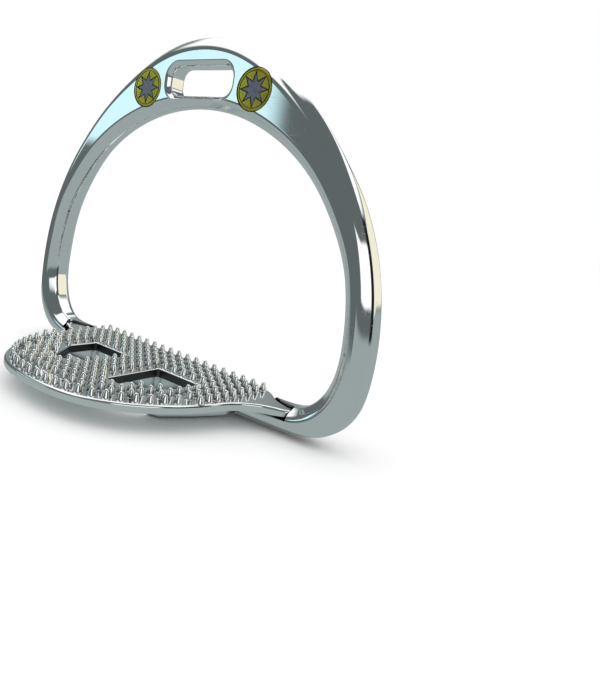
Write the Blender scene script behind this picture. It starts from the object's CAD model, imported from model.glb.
# Stirrup iron: chromed bow and studded tread with brass badges, on a pale floor in a soft studio.
# Metres in the scene; the shapes are driven by millimetre dimensions, as in the CAD part.
import math

import bpy
import numpy as np
from mathutils import Matrix, Vector


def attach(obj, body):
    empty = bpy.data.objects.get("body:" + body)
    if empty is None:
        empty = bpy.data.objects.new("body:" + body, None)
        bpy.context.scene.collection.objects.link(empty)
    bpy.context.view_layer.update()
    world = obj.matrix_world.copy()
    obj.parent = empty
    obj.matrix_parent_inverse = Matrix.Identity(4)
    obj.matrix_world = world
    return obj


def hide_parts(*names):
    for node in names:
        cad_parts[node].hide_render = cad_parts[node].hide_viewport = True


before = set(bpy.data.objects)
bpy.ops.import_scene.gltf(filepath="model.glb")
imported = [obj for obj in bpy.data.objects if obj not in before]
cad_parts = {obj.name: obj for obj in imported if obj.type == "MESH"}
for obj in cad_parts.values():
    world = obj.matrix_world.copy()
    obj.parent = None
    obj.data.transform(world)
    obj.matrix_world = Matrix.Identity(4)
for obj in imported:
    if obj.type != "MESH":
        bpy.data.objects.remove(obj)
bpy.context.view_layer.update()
MM = 0.001

# ---- driving dimensions (mm) --------------------------------------------------------------------
# Bow: stations down the right-hand side, measured from the photo as in the CAD part. Each is
# [inner x, inner z, outer x, outer z, inner back crease y, outer back crease y].
BOW_STATIONS = [
    [0, 106.7, 0, 132.8, 0, -2.3],             # crown
    [14, 105.4, 15.95, 130.55, 0, -2.3],
    [26, 102.2, 30.9, 123.8, 0, -2.4],
    [37.8, 97, 44.6, 114.35, 0.1, -2.5],
    [48.3, 90.1, 56.3, 103.55, 0.4, -2.4],     # shoulder
    [56.5, 82.4, 64.9, 93, 0.8, -1.5],
    [63.2, 73.6, 72, 82.3, 1.3, 1],
    [68.4, 65, 77.2, 71.9, 1.8, 1.8],
    [71.8, 57, 80.8, 62.2, 2.2, 2.2],
    [74, 47.5, 83.5, 51.4, 2.5, 2.5],
    [75, 38, 84.9, 40, 2.8, 2.8],              # widest
    [75.1, 30, 85.1, 29, 2.8, 2.8],
    [74, 23.3, 83.8, 17.6, 2.8, 2.8],
    [71.4, 17.4, 80.6, 10.5, 2.8, 2.8],
    [67.2, 12.9, 75, 4.8, 2.8, 2.8],           # lower corner
    [62.2, 10.6, 67, 1.7, 2.8, 2.8],
    [55, 10, 56, 0.8, 2.8, 2.8],
    [46, 10, 46, 0.5, 2.8, 2.8],
    [24, 10, 24, 0.4, 2.8, 2.8],
    [0, 10, 0, 0.4, 2.8, 2.8],                 # middle of the base bar
]
BOW_FRONT = -6.35
BEVEL_RADIAL, BEVEL_DEPTH = 3.3, 3.55
BOW_STEPS = 16          # sections between two stations
BOW_RELAX, TREAD_RELAX = 60, 6  # smoothing passes along the two outlines
# How far the polish rounds each crease, measured along the flats beside it: inner front, outer
# front, outer side front, outer side back, outer back, inner back, inner side back, inner side front
CREASES = [1.5, 2.0, 1.2, 0.9, 1.2, 1.2, 0.9, 1.0]
SHOULDER_ROUND = 2.3    # outer side crease over the shoulders, where the side flat closes up
SHOULDER_STATION, SHOULDER_FADE = 6.0, 0.5  # station where that ends, and how softly
CORNER_ROUND = 2.4      # outer front creases round the lower corners
CORNER_STATION, CORNER_SPREAD = 14.5, 2.2   # station where that is fullest, and how far it spreads
CREASE_STEPS = 8
CREASE_SHARE = 0.46     # most of a flat that the crease at one of its ends may take up

EYE = dict(z=116.2, half_length=15.5, half_height=5.45, corner=4.4, chamfer=1.6, edge=0.75)
BADGE = dict(x=27, z=113.3, radius=7.45, thickness=1.2, pocket=1.5)
BADGE_LIP, BADGE_SIDES = 0.35, 96
# Turned groove: how far its walls are in from the badge's rim, and each wall as (shift, depth)
GROOVE = dict(outside=0.75, inside=1.2, outer_wall=[(-0.2, -0.4), (0.1, 0.22)],
              inner_wall=[(0.1, -1), (-0.12, 1)])
EMBLEM = dict(points=8, tip=5.6, waist=2.7, depth=0.5, pocket=0.8, gap=0.32)
INLAY_EDGE = 0.14

# Tread: outline from the front middle round the right-hand side, measured from the photo
TREAD_STATIONS = [
    [0, -63.4], [9, -62.9], [17.5, -61], [25, -57.3], [31.2, -52.1], [36.3, -45.9], [40.2, -39.2],
    [43, -32.6], [44.8, -26], [46, -20.2], [48.4, -14.3], [52.6, -9.3], [57.2, -6.5], [60.2, -5.2],
    [61.6, -3.4], [60.7, -1.4], [57.4, -0.4], [53.6, 0.8], [50.2, 3], [47.2, 5.6], [43.6, 7.5],
    [36, 7.9], [18, 7.9], [0, 7.9],
]
TREAD_STEPS = 10
TREAD_BOTTOM, TREAD_TOP, TREAD_EDGE = 6.4, 9.4, 0.85
WINDOW = [[9.8, -39.6], [19.2, -39.6], [28.2, -26.2], [28.5, -13.5], [8.3, -13.5]]
WINDOW_CORNER, WINDOW_EDGE = 1.2, 0.5
STUD_PITCH_X, STUD_PITCH_Y, STUD_REAR, STUD_COLUMNS, STUD_ROWS = 4.75, 4.222, 5.5, 9, 17
STUD_INSET, STUD_RIM_INSET, STUD_RIM_PITCH, STUD_CROWDED, STUD_MARGIN = 5.4, 2.7, 4.6, 3.4, 1.6
# radius and height of a turned stud, from its root fillet to its blunt tip
STUD_PROFILE = [(1.62, -0.06), (1.45, 0.06), (1.34, 0.22), (1.28, 0.45), (1.14, 0.95), (1.0, 1.45),
                (0.87, 1.92), (0.75, 2.35), (0.63, 2.62), (0.44, 2.79), (0.22, 2.87)]
STUD_TOP, STUD_SIDES = 2.9, 18
STUD_RIM_END = -31      # y where the row along the front rim stops
STUD_FIELD_FRONT = -30  # studs in front of this y keep STUD_INSET from the outline
SUPPORT_BOTTOM, SUPPORT_TOP, SUPPORT_EDGE = 0, 6.1, 1
SUPPORT_OUTLINE = [[-24, -33.2], [24, -33.2], [28.8, -31.8], [34.2, -20.8], [38.4, -9.4], [38.4, 3],
                   [35, 6.2], [-35, 6.2], [-38.4, 3], [-38.4, -9.4], [-34.2, -20.8], [-28.8, -31.8]]
SUPPORT_WINDOW = 0.4    # how far the support's windows stand back from the tread's
FIT = 0.3               # clearance between pieces that touch
ROOM_GAP, ROOM_TOP = FIT + 0.05, 16         # space cut out of the bow for the tread
TONGUE_ROOM = [[-61.4, -9], [61.4, -9], [61.4, -4.2], [-61.4, -4.2]]
PAST = 1                # cutters reach this far past the solid they cut
QUARTER = np.linspace(0, math.pi / 2, 6)    # angles round an eased edge


# ---- curves and outlines ------------------------------------------------------------------------
def smooth_closed(points, steps):
    """Closed centripetal Catmull-Rom curve; works for points of any dimension."""
    pts = np.array(points, float)
    n = len(pts)
    out = []
    for i in range(n):
        p0, p1, p2, p3 = (pts[(i + k) % n] for k in (-1, 0, 1, 2))
        pairs = ((p0, p1), (p1, p2), (p2, p3))
        d0, d1, d2 = (max(np.linalg.norm(a[:2] - b[:2]), 1e-9) ** 0.5 for a, b in pairs)
        t1 = ((p1 - p0) / d0 - (p2 - p0) / (d0 + d1) + (p2 - p1) / d1) * d1
        t2 = ((p2 - p1) / d1 - (p3 - p1) / (d1 + d2) + (p3 - p2) / d2) * d1
        for k in range(steps):
            t = k / steps
            square, cube = 3 * (p2 - p1) - 2 * t1 - t2, 2 * (p1 - p2) + t1 + t2
            out.append(p1 + t1 * t + square * t * t + cube * t ** 3)
    return np.array(out)


def relax(points, passes):
    """Evens out curvature along a closed curve, so that mirror reflections run smoothly."""
    p = points.copy()
    for _ in range(passes):
        p = 0.5 * p + 0.25 * (np.roll(p, 1, 0) + np.roll(p, -1, 0))
    return p


def inset(points, distance):
    p = np.asarray(points, float)
    before, after = p - np.roll(p, 1, 0), np.roll(p, -1, 0) - p
    before /= np.linalg.norm(before, axis=1)[:, None]
    after /= np.linalg.norm(after, axis=1)[:, None]
    normal = np.c_[-before[:, 1] - after[:, 1], before[:, 0] + after[:, 0]]
    return p + normal * (distance / (0.5 * (normal ** 2).sum(1)))[:, None]


def rounded(points, radius, steps):
    p = [np.array(q, float) for q in points]
    out = []
    for i, corner in enumerate(p):
        a, b = p[i - 1] - corner, p[(i + 1) % len(p)] - corner
        a, b = a / np.linalg.norm(a), b / np.linalg.norm(b)
        half = 0.5 * math.acos(max(-1, min(1, a @ b)))
        middle = (a + b) / np.linalg.norm(a + b)
        centre = corner + middle * radius / math.sin(half)
        start = corner + a * radius / math.tan(half) - centre
        for k in range(steps + 1):
            t = (math.pi - 2 * half) * k / steps
            c, s = math.cos(t), math.sin(t)
            out.append([centre[0] + c * start[0] - s * start[1], centre[1] + s * start[0] + c * start[1]])
    return np.array(out)


def circle(radius, sides, cx=0.0, cy=0.0):
    a = (np.arange(sides) + 0.5) * 2 * math.pi / sides
    return np.c_[cx + radius * np.cos(a), cy + radius * np.sin(a)]


def mirrored(points):
    return [[-x, y] for x, y in reversed([list(q) for q in points])]


# ---- mesh helpers -------------------------------------------------------------------------------
def mesh_object(name, verts_mm, faces):
    mesh = bpy.data.meshes.new(name)
    mesh.from_pydata([tuple(float(c) * MM for c in v) for v in verts_mm], [], faces)
    mesh.validate()
    mesh.update()
    obj = bpy.data.objects.new(name, mesh)
    bpy.context.scene.collection.objects.link(obj)
    return obj


def stack(name, layers, upright=True):
    """Closed solid through outlines of equal point counts. upright: outlines in XY, levels in Z;
    otherwise outlines in XZ and levels in Y, given from front to back."""
    n = len(layers[0][0])
    verts, faces = [], []
    for outline, level in layers:
        verts += [(x, y, level) if upright else (x, level, y) for x, y in outline]
    for l in range(len(layers) - 1):
        for i in range(n):
            a, b = l * n + i, l * n + (i + 1) % n
            faces.append((a, b, b + n, a + n) if upright else (b, a, a + n, b + n))
    first, last = list(range(n)), list(range((len(layers) - 1) * n, len(layers) * n))
    faces += [first[::-1], last] if upright else [first, last[::-1]]
    return mesh_object(name, verts, faces)


def combine(obj, other, operation):
    mod = obj.modifiers.new(operation, "BOOLEAN")
    mod.object, mod.operation, mod.solver = other, operation, "MANIFOLD"
    graph = bpy.context.evaluated_depsgraph_get()
    mesh = bpy.data.meshes.new_from_object(obj.evaluated_get(graph))
    obj.modifiers.clear()
    obj.data = mesh
    bpy.data.objects.remove(other)


def polish(obj, angle=26):
    """Smooth shading that breaks at real edges. Truly flat faces keep their own normal out to
    their rims, so that a mirror finish shows no patches around the cut-outs."""
    mesh = obj.data
    normals = np.array([f.normal for f in mesh.polygons])
    areas = np.array([f.area for f in mesh.polygons])
    level = np.abs(normals).max(axis=1) > 0.999995
    around = [[] for _ in mesh.vertices]
    for f in mesh.polygons:
        for v in f.vertices:
            around[v].append(f.index)
    limit = math.cos(math.radians(angle))
    split = []
    for f in mesh.polygons:
        for v in f.vertices:
            near = [g for g in around[v] if normals[f.index] @ normals[g] > limit]
            flats = [g for g in near if level[g] and areas[g] > 0]
            if flats:
                split.append(normals[max(flats, key=lambda g: areas[g])])
                continue
            total = (normals[near] * areas[near][:, None]).sum(0)
            size = np.linalg.norm(total)
            split.append(total / size if size > 0 else normals[f.index])
    for f in mesh.polygons:
        f.use_smooth = True
    mesh.normals_split_custom_set([tuple(map(float, s)) for s in split])


# ---- bow ----------------------------------------------------------------------------------------
def rounded_section(corners, reaches):
    """Section with each corner turned into a curve that leaves both flats tangentially."""
    out = []
    n = len(corners)
    for i in range(n):
        c, a, b = corners[i], corners[i - 1] - corners[i], corners[(i + 1) % n] - corners[i]
        la, lb = np.linalg.norm(a), np.linalg.norm(b)
        start = c + a / la * min(reaches[i], CREASE_SHARE * la)
        end = c + b / lb * min(reaches[i], CREASE_SHARE * lb)
        for k in range(CREASE_STEPS + 1):
            s = k / CREASE_STEPS
            out.append((1 - s) ** 2 * start + 2 * s * (1 - s) * c + s * s * end)
    return out


def make_loop():
    left = [[-a, b, -c, d, e, f] for a, b, c, d, e, f in BOW_STATIONS[1:-1][::-1]]
    rows = BOW_STATIONS + left
    inner = relax(smooth_closed([r[:2] for r in rows], BOW_STEPS), BOW_RELAX)
    outer = relax(smooth_closed([r[2:4] for r in rows], BOW_STEPS), BOW_RELAX)
    at = np.arange(len(rows) * BOW_STEPS) / BOW_STEPS
    backs = []
    for k in (4, 5):
        depth = np.interp(at, range(len(rows) + 1), [r[k] for r in rows] + [rows[0][k]])
        backs.append(relax(depth[:, None], BOW_RELAX)[:, 0])
    verts, faces = [], []
    for i, (p, q) in enumerate(zip(inner, outer)):
        edge = q - p
        width = np.linalg.norm(edge)
        edge /= width
        inside, outside = backs[0][i], backs[1][i]
        back = inside + BEVEL_DEPTH
        flat = [[BEVEL_RADIAL, BOW_FRONT], [width - BEVEL_RADIAL, BOW_FRONT],
                [width, BOW_FRONT + BEVEL_DEPTH], [width, outside], [width - BEVEL_RADIAL, back],
                [BEVEL_RADIAL, back], [0, inside], [0, BOW_FRONT + BEVEL_DEPTH]]
        along = at[i] if at[i] <= len(BOW_STATIONS) - 1 else len(rows) - at[i]
        low = math.exp(-((along - CORNER_STATION) / CORNER_SPREAD) ** 2)
        high = 1 / (1 + math.exp((along - SHOULDER_STATION) / SHOULDER_FADE))
        reaches = list(CREASES)
        reaches[1] += low * (CORNER_ROUND - reaches[1])
        reaches[2] += low * (CORNER_ROUND - reaches[2]) + high * (SHOULDER_ROUND - reaches[2])
        for r, y in rounded_section([np.array(c, float) for c in flat], reaches):
            verts.append((p[0] + edge[0] * r, y, p[1] + edge[1] * r))
    n, m = len(inner), 8 * (CREASE_STEPS + 1)
    for i in range(n):
        for j in range(m):
            a, b = i * m + j, i * m + (j + 1) % m
            c, d = ((i + 1) % n) * m + (j + 1) % m, ((i + 1) % n) * m + j
            faces.append((a, d, c, b))
    return mesh_object("bow_chrome", verts, faces)


def eye_cutter():
    a, b, z = EYE["half_length"], EYE["half_height"], EYE["z"]
    slot = rounded([[-a, z - b], [a, z - b], [a, z + b], [-a, z + b]], EYE["corner"], 14)
    back = BOW_STATIONS[0][4] + BEVEL_DEPTH
    c, e = EYE["chamfer"], EYE["edge"]
    half = e * math.sqrt(0.5)
    bends = [((c + e, 0), (c, 0), (c - half, half)), ((half, c - half), (0, c), (0, c + e))]
    profile = []  # (how far outside the slot, depth), down the chamfer with both its edges eased
    for p0, p1, p2 in bends:
        for s in np.linspace(0, 1, 6):
            profile.append([(1 - s) ** 2 * u + 2 * s * (1 - s) * v + s * s * w
                            for u, v, w in zip(p0, p1, p2)])
    layers = [(inset(slot, -c - e - PAST), BOW_FRONT - PAST)]
    layers += [(inset(slot, -grow), BOW_FRONT + depth) for grow, depth in profile]
    layers += [(inset(slot, -grow), back - depth) for grow, depth in profile[::-1]]
    layers.append((inset(slot, -c - e - PAST), back + PAST))
    return stack("eye_cutter", layers, upright=False)


def window_outline(side, grow, steps=8):
    corners = WINDOW if side > 0 else mirrored(WINDOW)
    return inset(rounded(corners, WINDOW_CORNER, steps), -grow)


def tread_outline():
    outline = smooth_closed(TREAD_STATIONS + mirrored(TREAD_STATIONS[1:-1]), TREAD_STEPS)
    return relax(outline, TREAD_RELAX)


def make_bow(outline):
    bow = make_loop()
    edge = [(inset(SUPPORT_OUTLINE, SUPPORT_EDGE * (1 - math.sin(t))), SUPPORT_EDGE * (1 - math.cos(t)))
            for t in QUARTER]
    support = stack("support", edge + [(np.array(SUPPORT_OUTLINE, float), SUPPORT_TOP)])
    for side in (-1, 1):
        hole = window_outline(side, SUPPORT_WINDOW)
        through = [(hole, SUPPORT_BOTTOM - 2 * PAST), (hole, SUPPORT_TOP + 2 * PAST)]
        combine(support, stack("hole", through), "DIFFERENCE")
    combine(bow, support, "UNION")
    room = inset(outline, -ROOM_GAP)
    combine(bow, stack("room", [(room, SUPPORT_TOP), (room, ROOM_TOP)]), "DIFFERENCE")
    noses = [(TONGUE_ROOM, SUPPORT_TOP), (TONGUE_ROOM, ROOM_TOP)]
    combine(bow, stack("nose_room", noses), "DIFFERENCE")
    combine(bow, eye_cutter(), "DIFFERENCE")
    for side in (-1, 1):
        rim = circle(BADGE["radius"] + FIT, BADGE_SIDES, side * BADGE["x"], BADGE["z"])
        pocket = [(rim, BOW_FRONT - PAST), (rim, BOW_FRONT + BADGE["pocket"])]
        combine(bow, stack("pocket", pocket, upright=False), "DIFFERENCE")
    polish(bow)
    return bow


# ---- tread --------------------------------------------------------------------------------------
def inside(outline, x, y):
    hit = False
    for (ax, ay), (bx, by) in zip(outline, np.roll(outline, -1, 0)):
        if (ay > y) != (by > y) and x < (bx - ax) * (y - ay) / (by - ay) + ax:
            hit = not hit
    return hit


def along_front(outline, pitch, limit):
    start = outline[: len(outline) // 2]
    spots, travelled = [tuple(start[0])], 0.0
    for (ax, ay), (bx, by) in zip(start[:-1], start[1:]):
        if by >= limit:
            break
        length = math.hypot(bx - ax, by - ay)
        while travelled + length >= pitch * len(spots):
            t = (pitch * len(spots) - travelled) / length
            spots.append((ax + t * (bx - ax), ay + t * (by - ay)))
        travelled += length
    return spots + [(-x, y) for x, y in spots[1:]]


def stud_spots(outline):
    field = inset(outline, STUD_INSET)
    windows = [window_outline(side, STUD_MARGIN) for side in (-1, 1)]
    rim = along_front(inset(outline, STUD_RIM_INSET), STUD_RIM_PITCH, STUD_RIM_END)
    spots = list(rim)
    for row in range(STUD_ROWS):
        y = STUD_REAR - row * STUD_PITCH_Y
        for column in range(-STUD_COLUMNS, STUD_COLUMNS + 1):
            x = column * STUD_PITCH_X
            if y <= STUD_FIELD_FRONT and not inside(field, x, y):
                continue
            if any(math.hypot(rx - x, ry - y) < STUD_CROWDED for rx, ry in rim):
                continue
            if not any(inside(hole, x, y) for hole in windows):
                spots.append((x, y))
    return spots


def make_tread(outline):
    e = TREAD_EDGE
    layers = [(inset(outline, e * (1 - math.sin(t))), TREAD_BOTTOM + e * (1 - math.cos(t)))
              for t in QUARTER]
    layers += [(inset(outline, e * (1 - math.cos(t))), TREAD_TOP - e * (1 - math.sin(t)))
               for t in QUARTER]
    plate = stack("tread_chrome", layers)
    for side in (-1, 1):
        w = WINDOW_EDGE
        cut = [(window_outline(side, 0), TREAD_BOTTOM - PAST)]
        cut += [(window_outline(side, w * (1 - math.cos(t))), TREAD_TOP - w * (1 - math.sin(t)))
                for t in QUARTER]
        cut.append((window_outline(side, w + PAST), TREAD_TOP + PAST))
        combine(plate, stack("window", cut), "DIFFERENCE")
    polish(plate)

    verts, faces, sides = [], [], STUD_SIDES
    for x, y in stud_spots(outline):
        base = len(verts)
        for radius, height in STUD_PROFILE:
            verts += [(px, py, TREAD_TOP + height) for px, py in circle(radius, sides, x, y)]
        verts.append((x, y, TREAD_TOP + STUD_TOP))
        for l in range(len(STUD_PROFILE) - 1):
            for i in range(sides):
                a, b = base + l * sides + i, base + l * sides + (i + 1) % sides
                faces.append((a, b, b + sides, a + sides))
        top = base + (len(STUD_PROFILE) - 1) * sides
        faces += [(top + i, top + (i + 1) % sides, len(verts) - 1) for i in range(sides)]
        faces.append([base + i for i in reversed(range(sides))])
    studs = mesh_object("tread_studs", verts, faces)
    for face in studs.data.polygons:
        face.use_smooth = True
    studs.parent = plate
    return plate, studs


# ---- badges -------------------------------------------------------------------------------------
def rosette(side, grow):
    pts = []
    for i in range(EMBLEM["points"] * 2):
        r = EMBLEM["waist"] if i % 2 else EMBLEM["tip"]
        a = math.pi * i / EMBLEM["points"] + math.pi / 2
        pts.append([side * BADGE["x"] + r * math.cos(a), BADGE["z"] + r * math.sin(a)])
    return inset(pts, -grow)


def make_badge(side, name):
    x, z = side * BADGE["x"], BADGE["z"]
    layers = []
    for t in np.linspace(0, math.pi / 2, 5):
        layers.append((circle(BADGE["radius"] - BADGE_LIP * (1 - math.sin(t)), BADGE_SIDES, x, z),
                       BOW_FRONT + BADGE_LIP * (1 - math.cos(t))))
    layers.append((circle(BADGE["radius"], BADGE_SIDES, x, z), BOW_FRONT + BADGE["thickness"]))
    badge = stack(name, layers, upright=False)
    # a shallow turned groove inside the rim, then the pocket for the inlay
    walls = []
    for place, wall in (("outside", "outer_wall"), ("inside", "inner_wall")):
        ring = circle(BADGE["radius"] - GROOVE[place], BADGE_SIDES, x, z)
        walls.append([(inset(ring, shift), BOW_FRONT + depth) for shift, depth in GROOVE[wall]])
    groove = stack("groove", walls[0], upright=False)
    combine(groove, stack("core", walls[1], upright=False), "DIFFERENCE")
    combine(badge, groove, "DIFFERENCE")
    recess = rosette(side, EMBLEM["gap"])
    pocket = [(recess, BOW_FRONT - PAST), (recess, BOW_FRONT + EMBLEM["pocket"])]
    combine(badge, stack("recess", pocket, upright=False), "DIFFERENCE")
    polish(badge)
    return badge


def make_inlay(side, name):
    shape, edge = rosette(side, 0), INLAY_EDGE
    layers = [(inset(shape, edge), BOW_FRONT), (inset(shape, edge * 0.3), BOW_FRONT + edge * 0.3),
              (shape, BOW_FRONT + edge), (shape, BOW_FRONT + EMBLEM["depth"])]
    mark = stack(name, layers, upright=False)
    polish(mark, 40)
    return mark


# ---- materials ----------------------------------------------------------------------------------
class Nodes:
    """Small helper for building a node tree."""

    def __init__(self, tree):
        self.tree = tree
        tree.nodes.clear()

    def add(self, kind, props=None, **inputs):
        node = self.tree.nodes.new(kind)
        for key, value in (props or {}).items():
            setattr(node, key, value)
        for key, value in inputs.items():
            self.put(node, key.replace("_", " "), value)
        return node

    def put(self, node, socket, value):
        target = node.inputs[int(socket[1:])] if socket[0] == "#" else node.inputs[socket]
        if isinstance(value, bpy.types.NodeSocket):
            self.tree.links.new(value, target)
        else:
            target.default_value = value

    def math(self, operation, a, b=0.0, clamp=False):
        node = self.add("ShaderNodeMath", dict(operation=operation, use_clamp=clamp))
        self.put(node, "#0", a)
        self.put(node, "#1", b)
        return node.outputs[0]

    def ramp(self, value, low, high, to_low=0.0, to_high=1.0):
        node = self.add("ShaderNodeMapRange", dict(interpolation_type="SMOOTHSTEP"))
        for key, v in (("Value", value), ("From Min", low), ("From Max", high), ("To Min", to_low),
                       ("To Max", to_high)):
            self.put(node, key, v)
        return node.outputs["Result"]

    def blend(self, factor, a, b):
        node = self.add("ShaderNodeMix", dict(data_type="RGBA"))
        self.put(node, "#0", factor)
        self.put(node, "#6", a)
        self.put(node, "#7", b)
        return node.outputs[2]

    def noise(self, coords, scale, detail=3.0, roughness=0.5, stretch=None):
        if stretch:
            coords = self.add("ShaderNodeMapping", Vector=coords, Scale=stretch).outputs[0]
        return self.add("ShaderNodeTexNoise", Vector=coords, Scale=scale, Detail=detail,
                        Roughness=roughness).outputs["Fac"]


GRIME_FROM, GRIME_TO = 0.48, 0.84       # openness at which grime is full, and at which it is gone
GRIME_TONE = (0.012, 0.013, 0.014, 1)
UNPOLISHED_TONE = (0.02, 0.021, 0.022, 1)
# Box round the walls of the tread's windows, in metres: distance from the middle, y and z
WINDOW_WALLS = ((0.007, 0.03), (-0.041, -0.013), (0.006, 0.00925))


def metal(name, light, dark, rough, bump=0.02, scratch=0.25, tarnish=0.25, edge_wear=0.15, grime=None,
          recess=None):
    """Polished metal: tone drifts a little, fine scratches and handling marks show in the gloss.
    grime is (reach, amount); recess is a box in metres whose upright faces stay unpolished."""
    mat = bpy.data.materials.new(name)
    mat.use_nodes = True
    n = Nodes(mat.node_tree)
    at = n.add("ShaderNodeTexCoord").outputs["Object"]
    cloud = n.noise(at, 55, 4)
    fine = n.noise(at, 900, 3, 0.6)
    hair_a = n.ramp(n.noise(at, 420, 2, 0.5, (9, 0.35, 1.2)), 0.66, 0.74)
    hair_b = n.ramp(n.noise(at, 380, 2, 0.5, (0.4, 1.0, 8.5)), 0.67, 0.75)
    hairs = n.math("MAXIMUM", hair_a, hair_b)
    edges = n.ramp(n.add("ShaderNodeNewGeometry").outputs["Pointiness"], 0.52, 0.6)
    tone = n.blend(n.math("MULTIPLY", n.ramp(cloud, 0.35, 0.75), tarnish), light, dark)
    worn = tuple(min(1, c * 1.12) for c in light[:3]) + (1,)
    tone = n.blend(n.math("MULTIPLY", edges, edge_wear), tone, worn)
    if grime:
        reach, amount = grime  # dirt and dull metal left where the polishing wheel can't reach
        hollow = n.add("ShaderNodeAmbientOcclusion", dict(samples=8), Distance=reach).outputs["AO"]
        dirt = n.math("MULTIPLY", n.ramp(hollow, GRIME_FROM, GRIME_TO, 1, 0), amount)
        tone = n.blend(dirt, tone, GRIME_TONE)
    gloss = n.math("ADD", rough[0], n.math("MULTIPLY", n.ramp(cloud, 0.4, 0.8), rough[1] - rough[0]))
    if recess:
        normal = n.add("ShaderNodeNewGeometry").outputs["Normal"]
        steep = n.add("ShaderNodeSeparateXYZ", Vector=normal).outputs["Z"]
        wall = n.ramp(n.math("ABSOLUTE", steep), 0.2, 0.5, 1, 0)
        place = n.add("ShaderNodeSeparateXYZ", Vector=at).outputs
        for value, (low, high) in zip((n.math("ABSOLUTE", place["X"]), place["Y"], place["Z"]), recess):
            within = n.math("MULTIPLY", n.math("GREATER_THAN", value, low), n.math("LESS_THAN", value, high))
            wall = n.math("MULTIPLY", wall, within)
        dull = n.math("MULTIPLY", wall, n.ramp(cloud, 0.2, 0.8, 0.97, 0.9))
        tone = n.blend(dull, tone, UNPOLISHED_TONE)
        gloss = n.math("ADD", gloss, n.math("MULTIPLY", wall, 0.3))
    scuffs = n.math("MULTIPLY", n.math("MULTIPLY", hairs, scratch), n.ramp(cloud, 0.35, 0.6))
    gloss = n.math("ADD", gloss, scuffs)
    gloss = n.math("ADD", gloss, n.math("MULTIPLY", fine, 0.015), clamp=True)
    height = n.math("ADD", n.math("MULTIPLY", fine, 0.35), n.math("MULTIPLY", hairs, -0.5))
    relief = n.add("ShaderNodeBump", Strength=bump, Distance=0.00004, Height=height).outputs[0]
    shader = n.add("ShaderNodeBsdfPrincipled", Metallic=1.0, Base_Color=tone, Roughness=gloss, Normal=relief)
    out = n.add("ShaderNodeOutputMaterial")
    n.put(out, "Surface", shader.outputs[0])
    return mat


def enamel(name):
    """Dark inlay: slate enamel with a faint mottling under a clear gloss."""
    mat = bpy.data.materials.new(name)
    mat.use_nodes = True
    n = Nodes(mat.node_tree)
    at = n.add("ShaderNodeTexCoord").outputs["Object"]
    mottle = n.ramp(n.noise(at, 700, 4, 0.6), 0.35, 0.7)
    specks = n.ramp(n.noise(at, 3200, 2, 0.5), 0.62, 0.72)
    tone = n.blend(mottle, (0.035, 0.038, 0.06, 1), (0.075, 0.078, 0.115, 1))
    tone = n.blend(n.math("MULTIPLY", specks, 0.35), tone, (0.16, 0.17, 0.2, 1))
    rough = n.ramp(mottle, 0, 1, 0.22, 0.4)
    relief = n.add("ShaderNodeBump", Strength=0.12, Distance=0.00005, Height=mottle).outputs[0]
    shader = n.add("ShaderNodeBsdfPrincipled", Base_Color=tone, Roughness=rough, Normal=relief)
    n.put(shader, "Coat Weight", 0.5)
    n.put(shader, "Coat Roughness", 0.08)
    n.put(n.add("ShaderNodeOutputMaterial"), "Surface", shader.outputs[0])
    return mat


def floor_paint(name):
    mat = bpy.data.materials.new(name)
    mat.use_nodes = True
    n = Nodes(mat.node_tree)
    at = n.add("ShaderNodeTexCoord").outputs["Object"]
    tone = n.blend(n.noise(at, 3, 2), (0.93, 0.93, 0.93, 1), (0.95, 0.95, 0.95, 1))
    shader = n.add("ShaderNodeBsdfDiffuse", Color=tone)
    n.put(n.add("ShaderNodeOutputMaterial"), "Surface", shader.outputs[0])
    return mat


# ---- studio -------------------------------------------------------------------------------------
# A soft studio as the polished metal sees it: a white ceiling, and a few upright boxes and dark
# flags. Each is (azimuth, half width, elevation, half height, softness, colour) in degrees, azimuth
# from +X towards +Y. Later ones stand in front of earlier ones. The floor and the background are
# lit evenly in white, and the metal doesn't mirror the floor.
WHITE, BLUE, CREAM = (1.2, 1.2, 1.2), (0.76, 1.09, 1.14), (1.03, 0.97, 0.76)
GROUND, WALL = (0.36, 0.415, 0.41), (0.27, 0.3, 0.3)
DARK, BLACK = (0.124, 0.147, 0.146), (0.012, 0.014, 0.015)
CEILING, CEILING_FADE = 38, 5           # elevation where the white ceiling begins, and how softly
HORIZON_FADE = 1.5
FLOOR_LIGHT = (1.07, 1.07, 1.07, 1)     # even light on everything that isn't a mirror
STUDIO = [
    (-148, 52, 11, 23, 3, DARK),        # flag, front left
    (-141, 14, 7.6, 4.9, 1.2, BLUE),    # pale blue box, front left
    (-48, 52, 37, 42, 4, DARK),         # flag, front
    (-32, 20, 16, 11.5, 2.5, WHITE),    # box, right
    (8, 18, 16, 22, 3, BLACK),          # flag between the boxes
    (100, 22, 25, 26, 3, DARK),         # flag, rear
    (56, 28, 16, 15, 2, CREAM),         # warm box, back right
]


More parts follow.
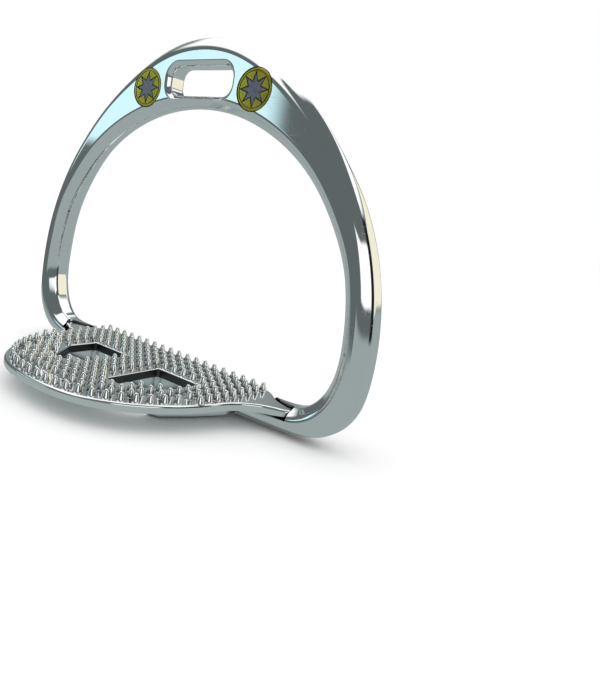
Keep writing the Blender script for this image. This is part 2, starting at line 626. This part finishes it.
def make_world():
    world = bpy.data.worlds.new("studio")
    bpy.context.scene.world = world
    world.use_nodes = True
    n = Nodes(world.node_tree)
    split = n.add("ShaderNodeSeparateXYZ", Vector=n.add("ShaderNodeTexCoord").outputs["Generated"])
    x, y, z = split.outputs
    az = n.math("DEGREES", n.math("ARCTAN2", y, x))
    el = n.math("DEGREES", n.math("ARCSINE", z))
    colour = n.blend(n.ramp(el, -HORIZON_FADE, HORIZON_FADE), GROUND + (1,), WALL + (1,))
    colour = n.blend(n.ramp(el, CEILING - CEILING_FADE, CEILING + CEILING_FADE), colour, WHITE + (1,))
    for az0, wide, el0, high, soft, tint in STUDIO:
        turn = n.add("ShaderNodeMath", dict(operation="WRAP"))
        for socket, value in (("#0", n.math("SUBTRACT", az, az0)), ("#1", 180), ("#2", -180)):
            n.put(turn, socket, value)
        beside = n.math("ABSOLUTE", turn.outputs[0])
        above = n.math("ABSOLUTE", n.math("SUBTRACT", el, el0))
        mask = n.math("MULTIPLY", n.ramp(beside, wide - soft, wide + soft, 1, 0),
                      n.ramp(above, high - soft / 2, high + soft / 2, 1, 0))
        colour = n.blend(mask, colour, tint + (1,))
    path = n.add("ShaderNodeLightPath")
    seen = n.blend(path.outputs["Is Diffuse Ray"], (1, 1, 1, 1), FLOOR_LIGHT)
    seen = n.blend(path.outputs["Is Glossy Ray"], seen, colour)
    back = n.add("ShaderNodeBackground", Color=seen, Strength=1.0)
    n.put(n.add("ShaderNodeOutputWorld"), "Surface", back.outputs[0])


def make_floor():
    side, cells = 8000.0, 8
    pts = np.linspace(-side, side, cells + 1)
    verts = [(x, y, 0) for y in pts for x in pts]
    row = cells + 1
    faces = [(j * row + i, j * row + i + 1, (j + 1) * row + i + 1, (j + 1) * row + i)
             for j in range(cells) for i in range(cells)]
    floor = mesh_object("studio_floor", verts, faces)
    floor.data.materials.append(floor_paint("floor_pale"))
    floor.visible_glossy = False  # the metal mirrors the studio's ground shade instead


def make_light():
    data = bpy.data.lights.new("overhead_soft", "AREA")
    data.shape, data.size, data.size_y, data.energy = "RECTANGLE", 1.2, 1.2, 2.2
    lamp = bpy.data.objects.new("overhead_soft", data)
    lamp.location = (-0.25, -0.35, 1.1)
    lamp.rotation_euler = (Vector((0, 0, 0.05)) - lamp.location).to_track_quat("-Z", "Y").to_euler()
    lamp.visible_glossy = False
    bpy.context.scene.collection.objects.link(lamp)


# Camera at the photographer's place, as fitted to the photo: position in mm and angles in degrees.
# The heading is from +X towards +Y.
CAMERA_AT = (173.278, -184.959, 76.475)
CAMERA_HEADING, CAMERA_PITCH, CAMERA_ROLL = 129.894, -6.361, 8.773
CAMERA_LENS = 35.028
CAMERA_SHIFT = (0.1191, -0.1040)


def make_camera():
    data = bpy.data.cameras.new("camera")
    data.sensor_width, data.lens = 36, CAMERA_LENS
    data.shift_x, data.shift_y = CAMERA_SHIFT
    data.clip_start, data.clip_end = 0.01, 50
    cam = bpy.data.objects.new("camera", data)
    heading = Matrix.Rotation(math.radians(CAMERA_HEADING - 90), 4, "Z")
    pitch = Matrix.Rotation(math.radians(90 + CAMERA_PITCH), 4, "X")
    roll = Matrix.Rotation(math.radians(CAMERA_ROLL), 4, "Z")
    cam.matrix_world = Matrix.Translation(Vector(CAMERA_AT) * MM) @ heading @ pitch @ roll
    bpy.context.scene.collection.objects.link(cam)
    bpy.context.scene.camera = cam


# ---- assembly -----------------------------------------------------------------------------------
make_camera()
make_world()
make_floor()
make_light()
bpy.context.scene.view_settings.view_transform = "Standard"

chrome = metal("bow_chrome", (0.86, 0.875, 0.885, 1), (0.78, 0.79, 0.8, 1), (0.03, 0.06),
               grime=(0.004, 0.9))
tread_chrome = metal("tread_chrome", (0.94, 0.96, 0.96, 1), (0.84, 0.86, 0.86, 1), (0.06, 0.13), scratch=0.35,
                     grime=(0.0036, 0.97), recess=WINDOW_WALLS)
brass = metal("badge_brass", (0.66, 0.53, 0.08, 1), (0.4, 0.31, 0.05, 1), (0.26, 0.4), bump=0.12,
              tarnish=0.7, grime=(0.0007, 0.9))
inlay = enamel("badge_enamel")

outline = tread_outline()
bow = make_bow(outline)
bow.data.materials.clear()
bow.data.materials.append(chrome)
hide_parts("bow")
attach(bow, "root")

plate, studs = make_tread(outline)
for piece in (plate, studs):
    piece.data.materials.clear()
    piece.data.materials.append(tread_chrome)
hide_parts("tread_plate")
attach(plate, "root")

for side, word in ((-1, "left"), (1, "right")):
    badge = make_badge(side, "badge_disc_" + word)
    badge.data.materials.clear()
    badge.data.materials.append(brass)
    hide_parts("badge_" + word)
    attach(badge, "root")
    mark = make_inlay(side, "rosette_inlay_" + word)
    mark.data.materials.append(inlay)
    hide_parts("badge_rosette_" + word)
    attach(mark, "root")
